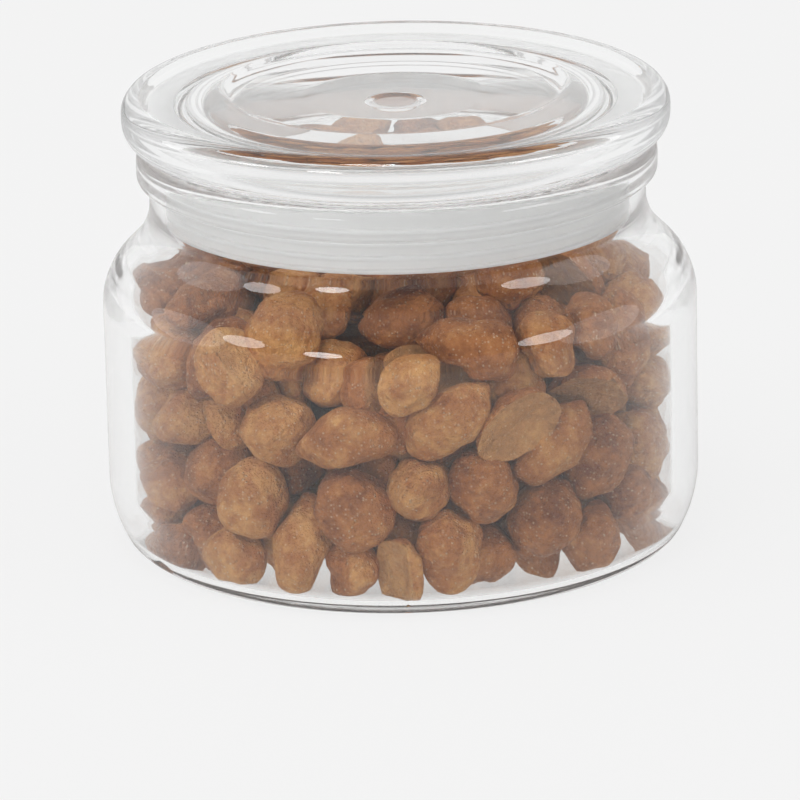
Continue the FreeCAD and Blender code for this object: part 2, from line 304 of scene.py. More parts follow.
def rounded_wire(outline, arc_steps=8, ring=False):
    """A bmesh wire through (radius, height, rounding) corners, each rounded by an arc."""
    bm = bmesh.new()
    corners = [bm.verts.new((radius, 0.0, height)) for radius, height, _ in outline]
    for first, second in zip(corners, corners[1:]):
        bm.edges.new((first, second))
    if ring:
        bm.edges.new((corners[-1], corners[0]))
    places = [corner.co.copy() for corner in corners]
    count = len(outline)
    for i, (_, _, rounding) in enumerate(outline):
        if rounding <= 0.0:
            continue
        back = places[i - 1] - places[i]
        ahead = places[(i + 1) % count] - places[i]
        reach = rounding / math.tan(back.angle(ahead) / 2.0)
        reach = min(reach, 0.49 * back.length, 0.49 * ahead.length)
        bmesh.ops.bevel(
            bm, geom=[corners[i]], offset=reach, offset_type="OFFSET",
            segments=arc_steps, profile=0.5, affect="VERTICES", material=-1,
        )
    return bm


def turned(outline, steps=144, arc_steps=8, ring=False):
    """A bmesh turned from an outline of (radius, height, rounding) corners."""
    bm = rounded_wire(outline, arc_steps, ring)
    bmesh.ops.spin(
        bm, geom=bm.verts[:] + bm.edges[:], cent=(0, 0, 0), axis=(0, 0, 1),
        angle=WHOLE_TURN, steps=steps, use_merge=True,
    )
    bmesh.ops.remove_doubles(bm, verts=bm.verts, dist=1e-7)
    bmesh.ops.recalc_face_normals(bm, faces=bm.faces)
    return bm


def keep_flats(piece):
    """Keeps the glass between the roundings flat in its shading."""
    weighted = piece.modifiers.new("flat faces lead", "WEIGHTED_NORMAL")
    weighted.weight = 100
    weighted.keep_sharp = True


# ---------------------------------------------------------------- finishes


def new_material(name):
    """A material with its Principled shader."""
    material = bpy.data.materials.new(name)
    material.use_nodes = True
    return material, material.node_tree, material.node_tree.nodes["Principled BSDF"]


def tinted(colour, shade=1.0):
    """A colour made darker by a shade, with its alpha."""
    return (*(shade * part for part in colour), 1.0)


def object_noise(tree, scale, detail, roughness=0.55, stretch=None):
    """Noise on the piece's own coordinates, from 0 to 1."""
    place = tree.nodes.new("ShaderNodeTexCoord")
    texture = tree.nodes.new("ShaderNodeTexNoise")
    texture.inputs["Scale"].default_value = scale
    texture.inputs["Detail"].default_value = detail
    texture.inputs["Roughness"].default_value = roughness
    if stretch:
        mapping = tree.nodes.new("ShaderNodeMapping")
        mapping.inputs["Scale"].default_value = stretch
        tree.links.new(place.outputs["Object"], mapping.inputs["Vector"])
        tree.links.new(mapping.outputs["Vector"], texture.inputs["Vector"])
    else:
        tree.links.new(place.outputs["Object"], texture.inputs["Vector"])
    return texture.outputs["Fac"]


def feed(tree, socket, value):
    """Gives a socket a value, or links it to another node's socket."""
    if isinstance(value, bpy.types.NodeSocket):
        tree.links.new(value, socket)
    else:
        socket.default_value = value


def reckoned(tree, operation, *values):
    """Sum, product or other reckoning of numbers and sockets."""
    node = tree.nodes.new("ShaderNodeMath")
    node.operation = operation
    for socket, value in zip(node.inputs, values):
        feed(tree, socket, value)
    return node.outputs["Value"]


def blended(tree, share, first, second, kind="RGBA"):
    """Blend of two colours, or of two numbers."""
    node = tree.nodes.new("ShaderNodeMix")
    node.data_type = kind
    for name, value in (("Factor", share), ("A", first), ("B", second)):
        feed(tree, node.inputs[name], value)
    return node.outputs["Result"]


def add_relief(tree, shader, height, strength, distance):
    """Bump from a height that changes over the surface."""
    bump = tree.nodes.new("ShaderNodeBump")
    bump.inputs["Strength"].default_value = strength
    bump.inputs["Distance"].default_value = distance
    tree.links.new(height, bump.inputs["Height"])
    tree.links.new(bump.outputs["Normal"], shader.inputs["Normal"])


def ranged(tree, value, low, high, new_low, new_high):
    """Maps a value from one range to another."""
    node = tree.nodes.new("ShaderNodeMapRange")
    node.inputs["From Min"].default_value = low
    node.inputs["From Max"].default_value = high
    node.inputs["To Min"].default_value = new_low
    node.inputs["To Max"].default_value = new_high
    tree.links.new(value, node.inputs["Value"])
    return node.outputs["Result"]


def clear_glass(name, tint=(0.972, 0.977, 0.975), sheen=0.0, frost=0.0):
    """Pressed soda glass: faint waves in its surface, smears, a trace of haze."""
    material, tree, shader = new_material(name)
    shader.inputs["Base Color"].default_value = (*tint, 1.0)
    shader.inputs["Transmission Weight"].default_value = 1.0
    shader.inputs["IOR"].default_value = 1.5
    shader.inputs["Sheen Weight"].default_value = sheen
    shader.inputs["Sheen Roughness"].default_value = 0.4
    shader.inputs["Sheen Tint"].default_value = (1.0, 0.95, 0.93, 1.0)
    smears = object_noise(tree, 90.0, 2.0)
    roughness = ranged(tree, smears, 0.45, 0.8, frost, frost + 0.03)
    tree.links.new(roughness, shader.inputs["Roughness"])
    waves = object_noise(tree, 70.0, 1.0, stretch=(1.0, 1.0, 0.5))
    add_relief(tree, shader, waves, 0.06, 0.4 * MM)
    return material


def cloudy_plastic(colour):
    """Cloudy plastic of the seal, which lets light in a little way."""
    material, tree, shader = new_material("cloudy_seal_plastic")
    shader.inputs["IOR"].default_value = 1.4
    shader.inputs["Subsurface Weight"].default_value = 0.9
    shader.inputs["Subsurface Radius"].default_value = (1.0, 1.0, 1.0)
    shader.inputs["Subsurface Scale"].default_value = 2.0 * MM
    clouds = object_noise(tree, 160.0, 3.0)
    cloudy = blended(tree, clouds, tinted(colour), tinted(colour, 0.94))
    tree.links.new(cloudy, shader.inputs["Base Color"])
    tree.links.new(ranged(tree, clouds, 0.3, 0.7, 0.45, 0.6), shader.inputs["Roughness"])
    return material


def crust_group():
    """Shared look of honey crust: patches, mottling, crystals and their relief."""
    group = bpy.data.node_groups.new("honey_crust", "ShaderNodeTree")
    for name, kind, value in (
        ("Dark", "NodeSocketColor", (0.25, 0.09, 0.03, 1.0)),
        ("Honey", "NodeSocketColor", (0.5, 0.22, 0.08, 1.0)),
        ("Pale", "NodeSocketColor", (0.68, 0.38, 0.16, 1.0)),
        ("Sugar", "NodeSocketColor", (0.86, 0.66, 0.45, 1.0)),
        ("Tone", "NodeSocketFloat", 0.5),
        ("Crystals", "NodeSocketFloat", 0.5),
    ):
        socket = group.interface.new_socket(name=name, in_out="INPUT", socket_type=kind)
        socket.default_value = value
    for name, kind in (
        ("Colour", "NodeSocketColor"),
        ("Roughness", "NodeSocketFloat"),
        ("Relief", "NodeSocketFloat"),
    ):
        group.interface.new_socket(name=name, in_out="OUTPUT", socket_type=kind)
    link = group.links.new
    given = group.nodes.new("NodeGroupInput").outputs
    made = group.nodes.new("NodeGroupOutput").inputs

    patches = object_noise(group, 210.0, 4.0, 0.6)
    mottle = object_noise(group, 900.0, 3.0, 0.6)
    shade = reckoned(group, "MULTIPLY_ADD", mottle, 0.5, patches)
    toned = reckoned(group, "ADD", shade, given["Tone"])
    roasted = ranged(group, toned, 0.44, 0.72, 0.0, 1.0)
    thin = ranged(group, toned, 0.74, 1.02, 0.0, 1.0)
    honey = blended(group, roasted, given["Dark"], given["Honey"])
    crust = blended(group, thin, honey, given["Pale"])

    place = group.nodes.new("ShaderNodeTexCoord")
    crystals = group.nodes.new("ShaderNodeTexVoronoi")
    crystals.inputs["Scale"].default_value = 2300.0
    link(place.outputs["Object"], crystals.inputs["Vector"])
    grain = ranged(group, crystals.outputs["Distance"], 0.1, 0.55, 1.0, 0.0)
    draw = group.nodes.new("ShaderNodeSeparateColor")
    link(crystals.outputs["Color"], draw.inputs["Color"])
    chosen = ranged(group, draw.outputs["Red"], 0.72, 0.95, 0.0, 1.0)
    speck = reckoned(group, "MULTIPLY", grain, chosen)
    dusted = reckoned(group, "MULTIPLY", speck, given["Crystals"])
    link(blended(group, dusted, crust, given["Sugar"]), made["Colour"])
    link(ranged(group, mottle, 0.3, 0.7, 0.75, 0.45), made["Roughness"])

    lumps = object_noise(group, 560.0, 2.0, 0.5)
    grains = object_noise(group, 1700.0, 2.0, 0.6)
    rough = reckoned(group, "MULTIPLY_ADD", grains, 0.6, lumps)
    link(reckoned(group, "MULTIPLY_ADD", speck, 0.25, rough), made["Relief"])
    return group


def vertex_value(tree, name):
    """A value kept at the kernels' points."""
    node = tree.nodes.new("ShaderNodeAttribute")
    node.attribute_name = name
    return node.outputs["Fac"]


def crust_material(name, colours, group, shade=1.0):
    """Honey crust with the pale inside where a kernel is split; a shade below one darkens it as
    painted shade.
    """
    material, tree, shader = new_material(name)
    crust = tree.nodes.new("ShaderNodeGroup")
    crust.node_tree = group
    # a shade below one darkens every crust colour as painted shade
    for socket, colour in (
        ("Dark", colours.crust_dark), ("Honey", colours.crust),
        ("Pale", colours.crust_pale), ("Sugar", colours.sugar),
    ):
        crust.inputs[socket].default_value = tinted(colour, shade)
    crust.inputs["Crystals"].default_value = 0.7
    tree.links.new(vertex_value(tree, "tone"), crust.inputs["Tone"])
    bare = ranged(tree, vertex_value(tree, "flesh"), 0.0, 1.0, 0.0, 0.42)
    colour = blended(tree, bare, crust.outputs["Colour"], tinted(colours.flesh))
    tree.links.new(colour, shader.inputs["Base Color"])
    tree.links.new(crust.outputs["Roughness"], shader.inputs["Roughness"])
    shader.inputs["Specular IOR Level"].default_value = 0.4
    add_relief(tree, shader, crust.outputs["Relief"], 0.8, 1.3 * MM)
    return material


# ---------------------------------------------------------------- glass and seal

HEEL_HEIGHT = 6.5 * MM  # where the outside of the wall turns in to the base
HEEL_STEP = 1.2  # how far inside the wall the floor ends, in millimetres
LIP_ROUNDING = 1.85 * MM
SEAL_GAP = 0.04 * MM  # keeps the seal's top off the lid's seat


def bore_outline(jar):
    """Inside of the neck, shoulder, wall and heel, down to the floor."""
    inner = jar.body_radius - jar.wall
    return [
        (jar.mouth_radius, jar.neck_height - 2.3 * MM, 8.0 * MM),
        (inner, jar.shoulder_height - 0.6 * MM, 6.0 * MM),
        (inner, HEEL_HEIGHT + 2.5 * MM, 17.0 * MM),
        (inner - HEEL_STEP * MM, jar.floor, 3.0 * MM),
        (0.0, jar.floor, 0.0),
    ]


def jar_outline(jar):
    """Outside, lip and inside of the jar, from under the middle to over it."""
    outer = jar.body_radius
    return [
        (0.0, 0.0, 0.0),
        (outer - 3.0 * MM, 0.0, 3.0 * MM),
        (outer, HEEL_HEIGHT, 17.0 * MM),
        (outer, jar.shoulder_height, 9.5 * MM),
        (jar.neck_radius, jar.neck_height, 9.8 * MM),
        (jar.neck_radius, jar.lip_height, 0.6 * MM),
        (jar.lip_radius, jar.lip_height, LIP_ROUNDING),
        (jar.lip_radius, jar.mouth_height, LIP_ROUNDING),
        (jar.mouth_radius, jar.mouth_height, 0.8 * MM),
        *bore_outline(jar),
    ]


def lid_outline(lid):
    """Underside, rim and dished top of the lid."""
    hollow = lid.top - lid.plate
    boss_foot, bottom_of_dish = hollow - lid.boss_depth, lid.top - lid.dish
    return [
        (0.0, boss_foot, 0.0),
        (lid.boss_radius - 0.4 * MM, boss_foot, 1.2 * MM),
        (lid.boss_radius + 0.8 * MM, hollow, 1.2 * MM),
        (lid.hollow_radius, hollow, 5.0 * MM),
        (lid.hollow_radius, lid.ridge_height, 0.6 * MM),
        (lid.ridge_radius, lid.ridge_height, 0.6 * MM),
        (lid.ridge_radius, lid.seat_height, 0.3 * MM),
        (lid.radius, lid.seat_height, 4.1 * MM),
        (lid.radius, lid.top, 2.95 * MM),
        (lid.dish_radius, lid.top, 4.0 * MM),
        (lid.dish_radius - 2.0 * MM, lid.top - 0.8 * MM, 6.0 * MM),
        (lid.dish_radius - 13.0 * MM, bottom_of_dish, 20.0 * MM),
        (0.0, bottom_of_dish, 0.0),
    ]


def seal_outline(seal, lid):
    """Flange, sleeve, ribs and skirt of the seal as a closed ring that fits the lid's ridge."""
    foot, step = seal.foot_height, lid.ridge_height
    top = lid.seat_height - SEAL_GAP
    outline = [(seal.skirt_radius, foot, 0.2 * MM), (seal.sleeve_radius, foot, 0.0)]
    for rib in range(seal.ribs):
        low = foot + rib * seal.rib_pitch
        if rib:
            outline.append((seal.sleeve_radius, low, 0.1 * MM))
        outline += [
            (seal.rib_radius, low + 0.1 * MM, 0.15 * MM),
            (seal.rib_radius, low + 0.75 * MM, 0.15 * MM),
            (seal.sleeve_radius, low + 0.8 * MM, 0.1 * MM),
        ]
    outline += [
        (seal.sleeve_radius, top - seal.flange, 0.3 * MM),
        (FLANGE_RADIUS, top - seal.flange, 0.1 * MM),
        (FLANGE_RADIUS, top, 0.1 * MM),
        (seal.collar_radius, top, 0.0),
        (seal.collar_radius, step, 0.0),
        (seal.skirt_radius, step, 0.2 * MM),
    ]
    return outline


# ---------------------------------------------------------------- peanuts

# Kernels are made and settled in millimetres, and placed in the jar in metres.
CORE_RADIUS, CORE_LOW, CORE_HIGH, CORE_EDGE = 18.0, 18.0, 36.0, 6.0
POUR_RADIUS, POUR_LOW, POUR_HIGH = 38.0, 8.0, 48.0
POUR_GAP = 5.0  # how far over and under the core the kernels may start
SHOULDER_REACH = 59.6  # how far from the base's middle the balls may reach at 45 degrees
SETTLING_GAP = 0.12
GLASS_GAP = 0.08 * MM
TINY = 1e-9  # keeps a length off zero before something is divided by it

# how the kernels are swelled and sunk while they settle
START_SIZE, GROWTH = 0.55, 0.9
SINKING_SHARE, SINK = 0.6, 0.05
SEARCH_EVERY, SEARCH_SLACK = 8, 2.0
PUSHES, EAGERNESS, STIFFNESS = 3, 1.5, 0.6

# the split face of a half: the middle it is moved from, its edge, its groove
HALF_MIDDLE, FACE_EDGE, GROOVE = 0.42, 0.16, 0.1


def kernel_faces(rng, kind):
    """Flattened sides of a kernel: direction, distance in half widths, how flat."""
    faces = [
        (Vector(rng.normal(size=3)).normalized(), rng.uniform(0.8, 1.0), rng.uniform(0.3, 0.6))
        for _ in range(2)
    ]
    if kind == "bit":
        side = Vector((rng.uniform(-0.3, 0.3), rng.uniform(-0.4, 0.4), 1.0)).normalized()
        faces.append((side, rng.uniform(0.25, 0.45), 0.93))
        side = Vector((rng.choice((-1.0, 1.0)), rng.uniform(-0.8, 0.8), rng.uniform(-1.0, -0.2)))
        faces.append((side.normalized(), rng.uniform(0.6, 0.9), 0.85))
    return faces


def kernel_kinds(rng, settings):
    """Sizes and traits of every kernel: half length, half width, half depth, in millimetres."""
    kinds = []
    for kind, count, length, width in (
        ("plump", settings.plump, (5.9, 7.3), (4.8, 5.8)),
        ("long", settings.long, (7.0, 8.4), (4.2, 5.0)),
        ("small", settings.small, (4.4, 5.4), (3.8, 4.4)),
        ("half", settings.halves, (6.2, 7.6), (4.9, 5.7)),
        ("bit", settings.bits, (5.2, 7.0), (4.2, 5.2)),
    ):
        for _ in range(count):
            half_width = rng.uniform(*width)
            kinds.append({
                "kind": kind,
                "length": rng.uniform(*length),
                "width": half_width,
                "depth": half_width * rng.uniform(0.88, 1.0),
                "taper": rng.uniform(-0.16, 0.16),
                "beak": rng.uniform(0.5, 1.3) if kind == "long" else rng.uniform(0.0, 0.7),
                "bend": rng.uniform(0.0, 0.05),
                "crease": max(0.0, rng.uniform(-0.04, 0.07)),
                "faces": kernel_faces(rng, kind),
                "seed": Vector(rng.uniform(-50.0, 50.0, 3)),
                "tone": rng.uniform(-0.16, 0.17),
            })
    return kinds


def kernel_balls(kernel):
    """Balls that stand for a kernel while the peanuts settle: x, y, z, radius."""
    length, width, depth = kernel["length"], kernel["width"], kernel["depth"]
    ball = (width + depth) / 2.0
    if kernel["kind"] == "half":
        small = width * 0.46
        return np.array([
            [length - small - 0.6, 0.0, 0.1, small],
            [small + 0.6 - length, 0.0, 0.1, small],
            [0.0, width - small - 0.4, 0.0, small],
            [0.0, small + 0.4 - width, 0.0, small],
            [0.0, 0.0, 0.1, small + 0.1],
        ])
    if kernel["kind"] == "bit":
        small = width * 0.5
        return np.array([
            [length - small - 0.8, 0.0, 0.0, small * 0.9],
            [small + 0.8 - length, 0.0, 0.0, small * 0.9],
            [0.0, 0.0, 0.0, small],
        ])
    reach = length - ball
    return np.array([
        [reach, 0.0, 0.0, ball * 0.96], [-reach, 0.0, 0.0, ball * 0.96], [0.0, 0.0, 0.0, ball],
    ])


def inside_jar(centres, radii, jar, top):
    """Moves ball centres back inside the glass and below the fill height."""
    inner, floor = (jar.body_radius - jar.wall) / MM, jar.floor / MM
    out = np.hypot(centres[:, 0], centres[:, 1]) + TINY
    new_out, high = out.copy(), centres[:, 2].copy()
    # floor, rounding of the heel, heel, wall, shoulder and top, each a slope and its reach
    for out_part, high_part, limit in (
        (0.0, -1.0, -floor),
        (0.6, -0.8, 0.6 * (inner - HEEL_STEP) - 0.8 * floor - 0.6),
        (0.987, -0.16, 0.987 * (inner - HEEL_STEP) - 0.16 * floor),
        (1.0, 0.0, inner),
        (0.707, 0.707, SHOULDER_REACH),
        (0.0, 1.0, top + SETTLING_GAP),
    ):
        past = out_part * new_out + high_part * high - limit
        over = np.maximum(past + radii + SETTLING_GAP, 0.0)
        new_out -= out_part * over
        high -= high_part * over
    scale = new_out / out
    return np.stack([centres[:, 0] * scale, centres[:, 1] * scale, high], axis=1)


def off_core(centres, radii):
    """Moves ball centres off the rounded core in the middle."""
    out = np.hypot(centres[:, 0], centres[:, 1]) + TINY
    nearest_out = np.minimum(out, CORE_RADIUS - CORE_EDGE)
    nearest_high = np.clip(centres[:, 2], CORE_LOW + CORE_EDGE, CORE_HIGH - CORE_EDGE)
    away_out, away_high = out - nearest_out, centres[:, 2] - nearest_high
    away = np.hypot(away_out, away_high) + TINY
    push = np.maximum(0.0, CORE_EDGE + radii - away) / away
    scale = (out + away_out * push) / out
    return np.stack([
        centres[:, 0] * scale, centres[:, 1] * scale, centres[:, 2] + away_high * push
    ], axis=1)


def neighbours(places, reach, owner):
    """Pairs of balls of different kernels that are near each other."""
    far = np.sqrt(((places[:, None, :] - places[None, :, :]) ** 2).sum(axis=2))
    near = (far < reach + SEARCH_SLACK) & (owner[:, None] < owner[None, :])
    return np.nonzero(near)


def spread_kernels(kernels, rng):
    """Places the kernels evenly in the jar, round the core."""
    count = len(kernels)
    low = (-POUR_RADIUS, -POUR_RADIUS, POUR_LOW)
    high = (POUR_RADIUS, POUR_RADIUS, POUR_HIGH)
    tries = rng.uniform(low, high, (count * 12, 3))
    out, up = np.hypot(tries[:, 0], tries[:, 1]), tries[:, 2]
    off = (out > CORE_RADIUS) | (up < CORE_LOW - POUR_GAP) | (up > CORE_HIGH + POUR_GAP)
    middle = tries[(out < POUR_RADIUS) & off][:count]

    # half of the small ones and bits go to the foot of the wall, half to its top
    out = np.hypot(middle[:, 0], middle[:, 1])
    loose = [i for i, kernel in enumerate(kernels) if kernel["kind"] in ("small", "bit")]
    for picked, side in ((loose[::2], 1.0), (loose[1::2], -1.0)):
        outer = np.argsort(side * middle[:, 2] - 0.25 * out)[: count // 4]
        for one, two in zip(picked, rng.permutation(outer)):
            middle[[one, two]] = middle[[two, one]]
    return middle


def part_balls(places, one, two, reach):
    """Pushes apart the pairs of balls that overlap; also tells the overlaps."""
    gap = places[one] - places[two]
    far = np.sqrt((gap**2).sum(axis=1)) + TINY
    over = np.maximum(reach - far, 0.0)
    push = gap * (0.5 * over / far)[:, None]
    count = len(places)
    hits = np.bincount(one, over > 0, count) + np.bincount(two, over > 0, count)
    moved = np.stack([
        np.bincount(one, push[:, axis], count) - np.bincount(two, push[:, axis], count)
        for axis in range(3)
    ], axis=1)
    return places + EAGERNESS * moved / np.maximum(hits, EAGERNESS)[:, None], over


def best_turns(levers, spun, total):
    """Turns that fit the kernels best to their moved balls, held back by the turns before."""
    spread = levers + spun * (total * STIFFNESS)[:, None, None]
    left, _, right = np.linalg.svd(spread)
    left[:, :, 2] *= np.linalg.det(left @ right)[:, None]
    return left @ right


def settle(kernels, settings, jar, rng, rounds):
    """Pours the kernels: swells them from small, lets them sink and parts what overlaps."""
    balls = [kernel_balls(kernel) for kernel in kernels]
    count = len(balls)
    owner = np.repeat(np.arange(count), [len(b) for b in balls])
    flat = np.concatenate(balls)
    local, radii = flat[:, :3], flat[:, 3]
    weight = radii**3
    total = np.bincount(owner, weight)
    reach = radii[:, None] + radii[None, :]
    top = settings.fill_height / MM

    middle = spread_kernels(kernels, rng)
    spun, _ = np.linalg.qr(rng.normal(size=(count, 3, 3)))
    spun[np.linalg.det(spun) < 0] *= -1.0
    for step in range(rounds):
        share = step / rounds
        size = min(1.0, START_SIZE + GROWTH * share)
        places = middle[owner] + np.einsum("nij,nj->ni", spun[owner], local * size)
        if share < SINKING_SHARE:
            places[:, 2] -= SINK
        if step % SEARCH_EVERY == 0:
            one, two = neighbours(places, reach * size, owner)
            both = reach[one, two]
        for _ in range(PUSHES):
            places, over = part_balls(places, one, two, both * size)
            places = off_core(places, radii * size)
            places = inside_jar(places, radii * size, jar, top)
        middle = np.stack([
            np.bincount(owner, weight * places[:, axis]) / total for axis in range(3)
        ], axis=1)
        lever = (places - middle[owner])[:, :, None] * local[:, None, :] * weight[:, None, None]
        levers = np.zeros((count, 3, 3))
        np.add.at(levers, owner, lever)
        spun = best_turns(levers, spun, total)
    return middle, spun, float(over.max())


def kernel_point(way, kernel):
    """Where a point of the unit ball lies on a kernel, and how bare of crust it is there."""
    x, y, z = way
    bare = 0.0
    if kernel["kind"] == "half":
        # the split face: flat, dished, with a shallow groove along the middle
        if z < 0.0:
            bare = min(1.0, -z / FACE_EDGE)
            out = math.hypot(x, y)
            dish = FACE_EDGE * bare * (1.0 - out * out)
            z = -0.02 + dish + GROOVE * bare * math.exp(-((y / FACE_EDGE) ** 2))
        z -= HALF_MIDDLE
    tip = max(0.0, (x - 0.45) / 0.55)
    waist = 1.0 + kernel["taper"] * x - 0.2 * min(kernel["beak"], 1.0) * tip * tip
    crease = 1.0 - kernel["crease"] * math.exp(-((y / 0.1) ** 2)) * (1.0 - 0.5 * abs(x))
    point = Vector((
        x * kernel["length"] * (1.0 - 0.06 * kernel["beak"]) + kernel["beak"] * tip**3,
        y * kernel["width"] * waist * crease,
        (z * waist * crease - kernel["bend"] * x * x * 2.0) * kernel["depth"],
    ))
    for lean, press, squash in kernel["faces"]:
        flat = point.dot(lean) - press * kernel["width"]
        if flat > 0.0:
            broken = squash > 0.8
            soft = 0.3 if broken else 1.2
            point -= lean * squash * flat * flat / (flat + soft)
            if broken:
                bare = max(bare, min(1.0, flat / 0.7))
    lump = noise.noise(way * 1.4 + kernel["seed"]) * 0.8
    crust = noise.noise(point * 0.42 + kernel["seed"]) * 0.34
    return point + way * (lump + crust * (1.0 - 0.6 * bare)), bare


def kernel_mesh(kernel):
    """One kernel as a mesh at the middle, with its tone and its bare split or broken face."""
    bm = bmesh.new()
    detail = 4 if FULL_DETAIL else 3
    bmesh.ops.create_icosphere(bm, subdivisions=detail, radius=1.0)
    tone = bm.verts.layers.float.new("tone")
    flesh = bm.verts.layers.float.new("flesh")
    for vert in bm.verts:
        vert.co, vert[flesh] = kernel_point(vert.co.normalized(), kernel)
        vert[tone] = kernel["tone"]
    mesh = bpy.data.meshes.new("kernel")
    bm.to_mesh(mesh)
    bm.free()
    return mesh


def keep_off_glass(heap, jar):
    """Moves what reaches into the jar's glass back inside the jar."""
    wire = rounded_wire([(jar.mouth_radius, jar.mouth_height, 0.0), *bore_outline(jar)])
    bore = sorted({(vert.co.z, vert.co.x) for vert in wire.verts})
    wire.free()
    heights, radii = np.array(bore).T
    places = np.array([vert.co for vert in heap.verts])
    out = np.hypot(places[:, 0], places[:, 1]) + TINY
    free = np.interp(places[:, 2], heights, radii) - GLASS_GAP
    for index in np.nonzero((out > free) & (places[:, 2] > jar.floor))[0]:
        heap.verts[index].co.xy *= free[index] / out[index]
    for index in np.nonzero(places[:, 2] < jar.floor + GLASS_GAP)[0]:
        heap.verts[index].co.z = jar.floor + GLASS_GAP


def add_kernels(name, chosen, middles, turns, material, jar):
    """Joins the placed kernels of a kind into one piece."""
    heap = bmesh.new()
    for kernel, middle, turn in zip(chosen, middles, turns):
        mesh = kernel_mesh(kernel)
        place = Matrix([list(row) for row in turn]).to_4x4()
        mesh.transform(Matrix.Translation(Vector(middle) * MM) @ place @ Matrix.Scale(MM, 4))
        heap.from_mesh(mesh)
        bpy.data.meshes.remove(mesh)
    heap.verts.ensure_lookup_table()
    keep_off_glass(heap, jar)
    return add_piece(name, heap, [material], "nut_crust", "peanuts")


def core_mesh():
    """The middle of the heap, which gets painted shade: a rounded lump with kernel sized relief.
    """
    bm = bmesh.new()
    bmesh.ops.create_icosphere(bm, subdivisions=5, radius=1.0)
    tall = (CORE_HIGH - CORE_LOW) / 2.0
    for vert in bm.verts:
        way = vert.co.normalized()
        flat = max(math.hypot(way.x, way.y), abs(way.z))
        relief = 1.4 * noise.noise(way * 5.0) + 0.5 * noise.noise(way * 14.0)
        vert.co = Vector((
            way.x / flat * (CORE_RADIUS - 2.0 + relief),
            way.y / flat * (CORE_RADIUS - 2.0 + relief),
            way.z / flat * (tall - 1.0 + relief) + (CORE_HIGH + CORE_LOW) / 2.0,
        )) * MM
    return bm


# ---------------------------------------------------------------- operators

BRIGHTEST_WAY = Vector((-0.25, -0.62, 0.74)).normalized()
LAMP_AIM = Vector((0.0, 0.0, 40.0 * MM))
CAMERA_AIM = Vector((0.0, 0.0, 37.0 * MM))
FLOOR_SIZE, FLOOR_DROP = 3.0, 0.05 * MM
FLOOR_GREY, FLOOR_GLOW = 0.42, 1.04
GLOW_SHARE, MIRRORED_GLOW = 0.88, 0.1
RAY_LIMIT = 32


class BuildJar(bpy.types.Operator):
    """Blow the glass jar and give it clear glass"""

    bl_idname = "peanut_jar.build_jar"
    bl_label = "Jar"

    def execute(self, context):
        glass = clear_glass("jar_glass_clear", sheen=0.25)
        bm = turned(jar_outline(context.scene.peanut_jar_glass))
        keep_flats(add_piece("glass_jar", bm, [glass], "jar_glass", "jar"))
        return {"FINISHED"}


class BuildLid(bpy.types.Operator):
    """Press the glass lid with its dished top, ridge and boss"""

    bl_idname = "peanut_jar.build_lid"
    bl_label = "Lid"

    def execute(self, context):
        lid = context.scene.peanut_jar_lid
        glass = clear_glass("lid_glass_clear")
        # the boss is frosted, and its pink-brown tint is a painted refraction of the nuts seen
        # through it
        painted_nut_tint = clear_glass("lid_boss_painted_nut_tint", tint=(0.70, 0.44, 0.34), frost=0.35)
        bm = turned(lid_outline(lid), steps=160)
        hollow = lid.top - lid.plate - 0.1 * MM
        for face in bm.faces:
            middle = face.calc_center_median()
            if middle.xy.length < lid.boss_radius and middle.z < hollow:
                face.material_index = 1
        keep_flats(add_piece("glass_lid", bm, [glass, painted_nut_tint], "lid_glass", "lid"))
        return {"FINISHED"}


class BuildSeal(bpy.types.Operator):
    """Mould the ribbed plastic seal"""

    bl_idname = "peanut_jar.build_seal"
    bl_label = "Seal"

    def execute(self, context):
        scene = context.scene
        plastic = cloudy_plastic(scene.peanut_jar_colours.seal)
        outline = seal_outline(scene.peanut_jar_seal, scene.peanut_jar_lid)
        bm = turned(outline, arc_steps=2, ring=True)
        keep_flats(add_piece("ribbed_seal", bm, [plastic], "seal_plastic", "seal"))
        return {"FINISHED"}


class FillPeanuts(bpy.types.Operator):
    """Pour the peanuts into the jar, one piece for each kind"""

    bl_idname = "peanut_jar.fill_peanuts"
    bl_label = "Peanuts"

    def execute(self, context):
        scene = context.scene
        settings, jar = scene.peanut_jar_peanuts, scene.peanut_jar_glass
        rng = np.random.default_rng(settings.seed)
        kernels = kernel_kinds(rng, settings)
        rng.shuffle(kernels)
        rounds = 420 if FULL_DETAIL else 160
        middles, turns, overlap = settle(kernels, settings, jar, rng, rounds)
        print(f"peanuts settled, deepest overlap {overlap:.2f} mm")
        group, colours = crust_group(), scene.peanut_jar_colours
        crust = crust_material("honey_crust", colours, group)
        for name, kind in (
            ("peanuts_plump", "plump"),
            ("peanuts_long", "long"),
            ("peanuts_small", "small"),
            ("peanut_halves", "half"),
            ("peanut_bits", "bit"),
        ):
            picked = [i for i, kernel in enumerate(kernels) if kernel["kind"] == kind]
            add_kernels(
                name, [kernels[i] for i in picked], middles[picked], turns[picked], crust, jar
            )
        # the core's crust is darkened to 0.45: painted shade for the nuts deep in the heap
        painted_shade_crust = crust_material("honey_crust_painted_shade", colours, group, shade=0.45)
        add_piece("peanut_core", core_mesh(), [painted_shade_crust], "nut_crust", "peanuts")
        return {"FINISHED"}


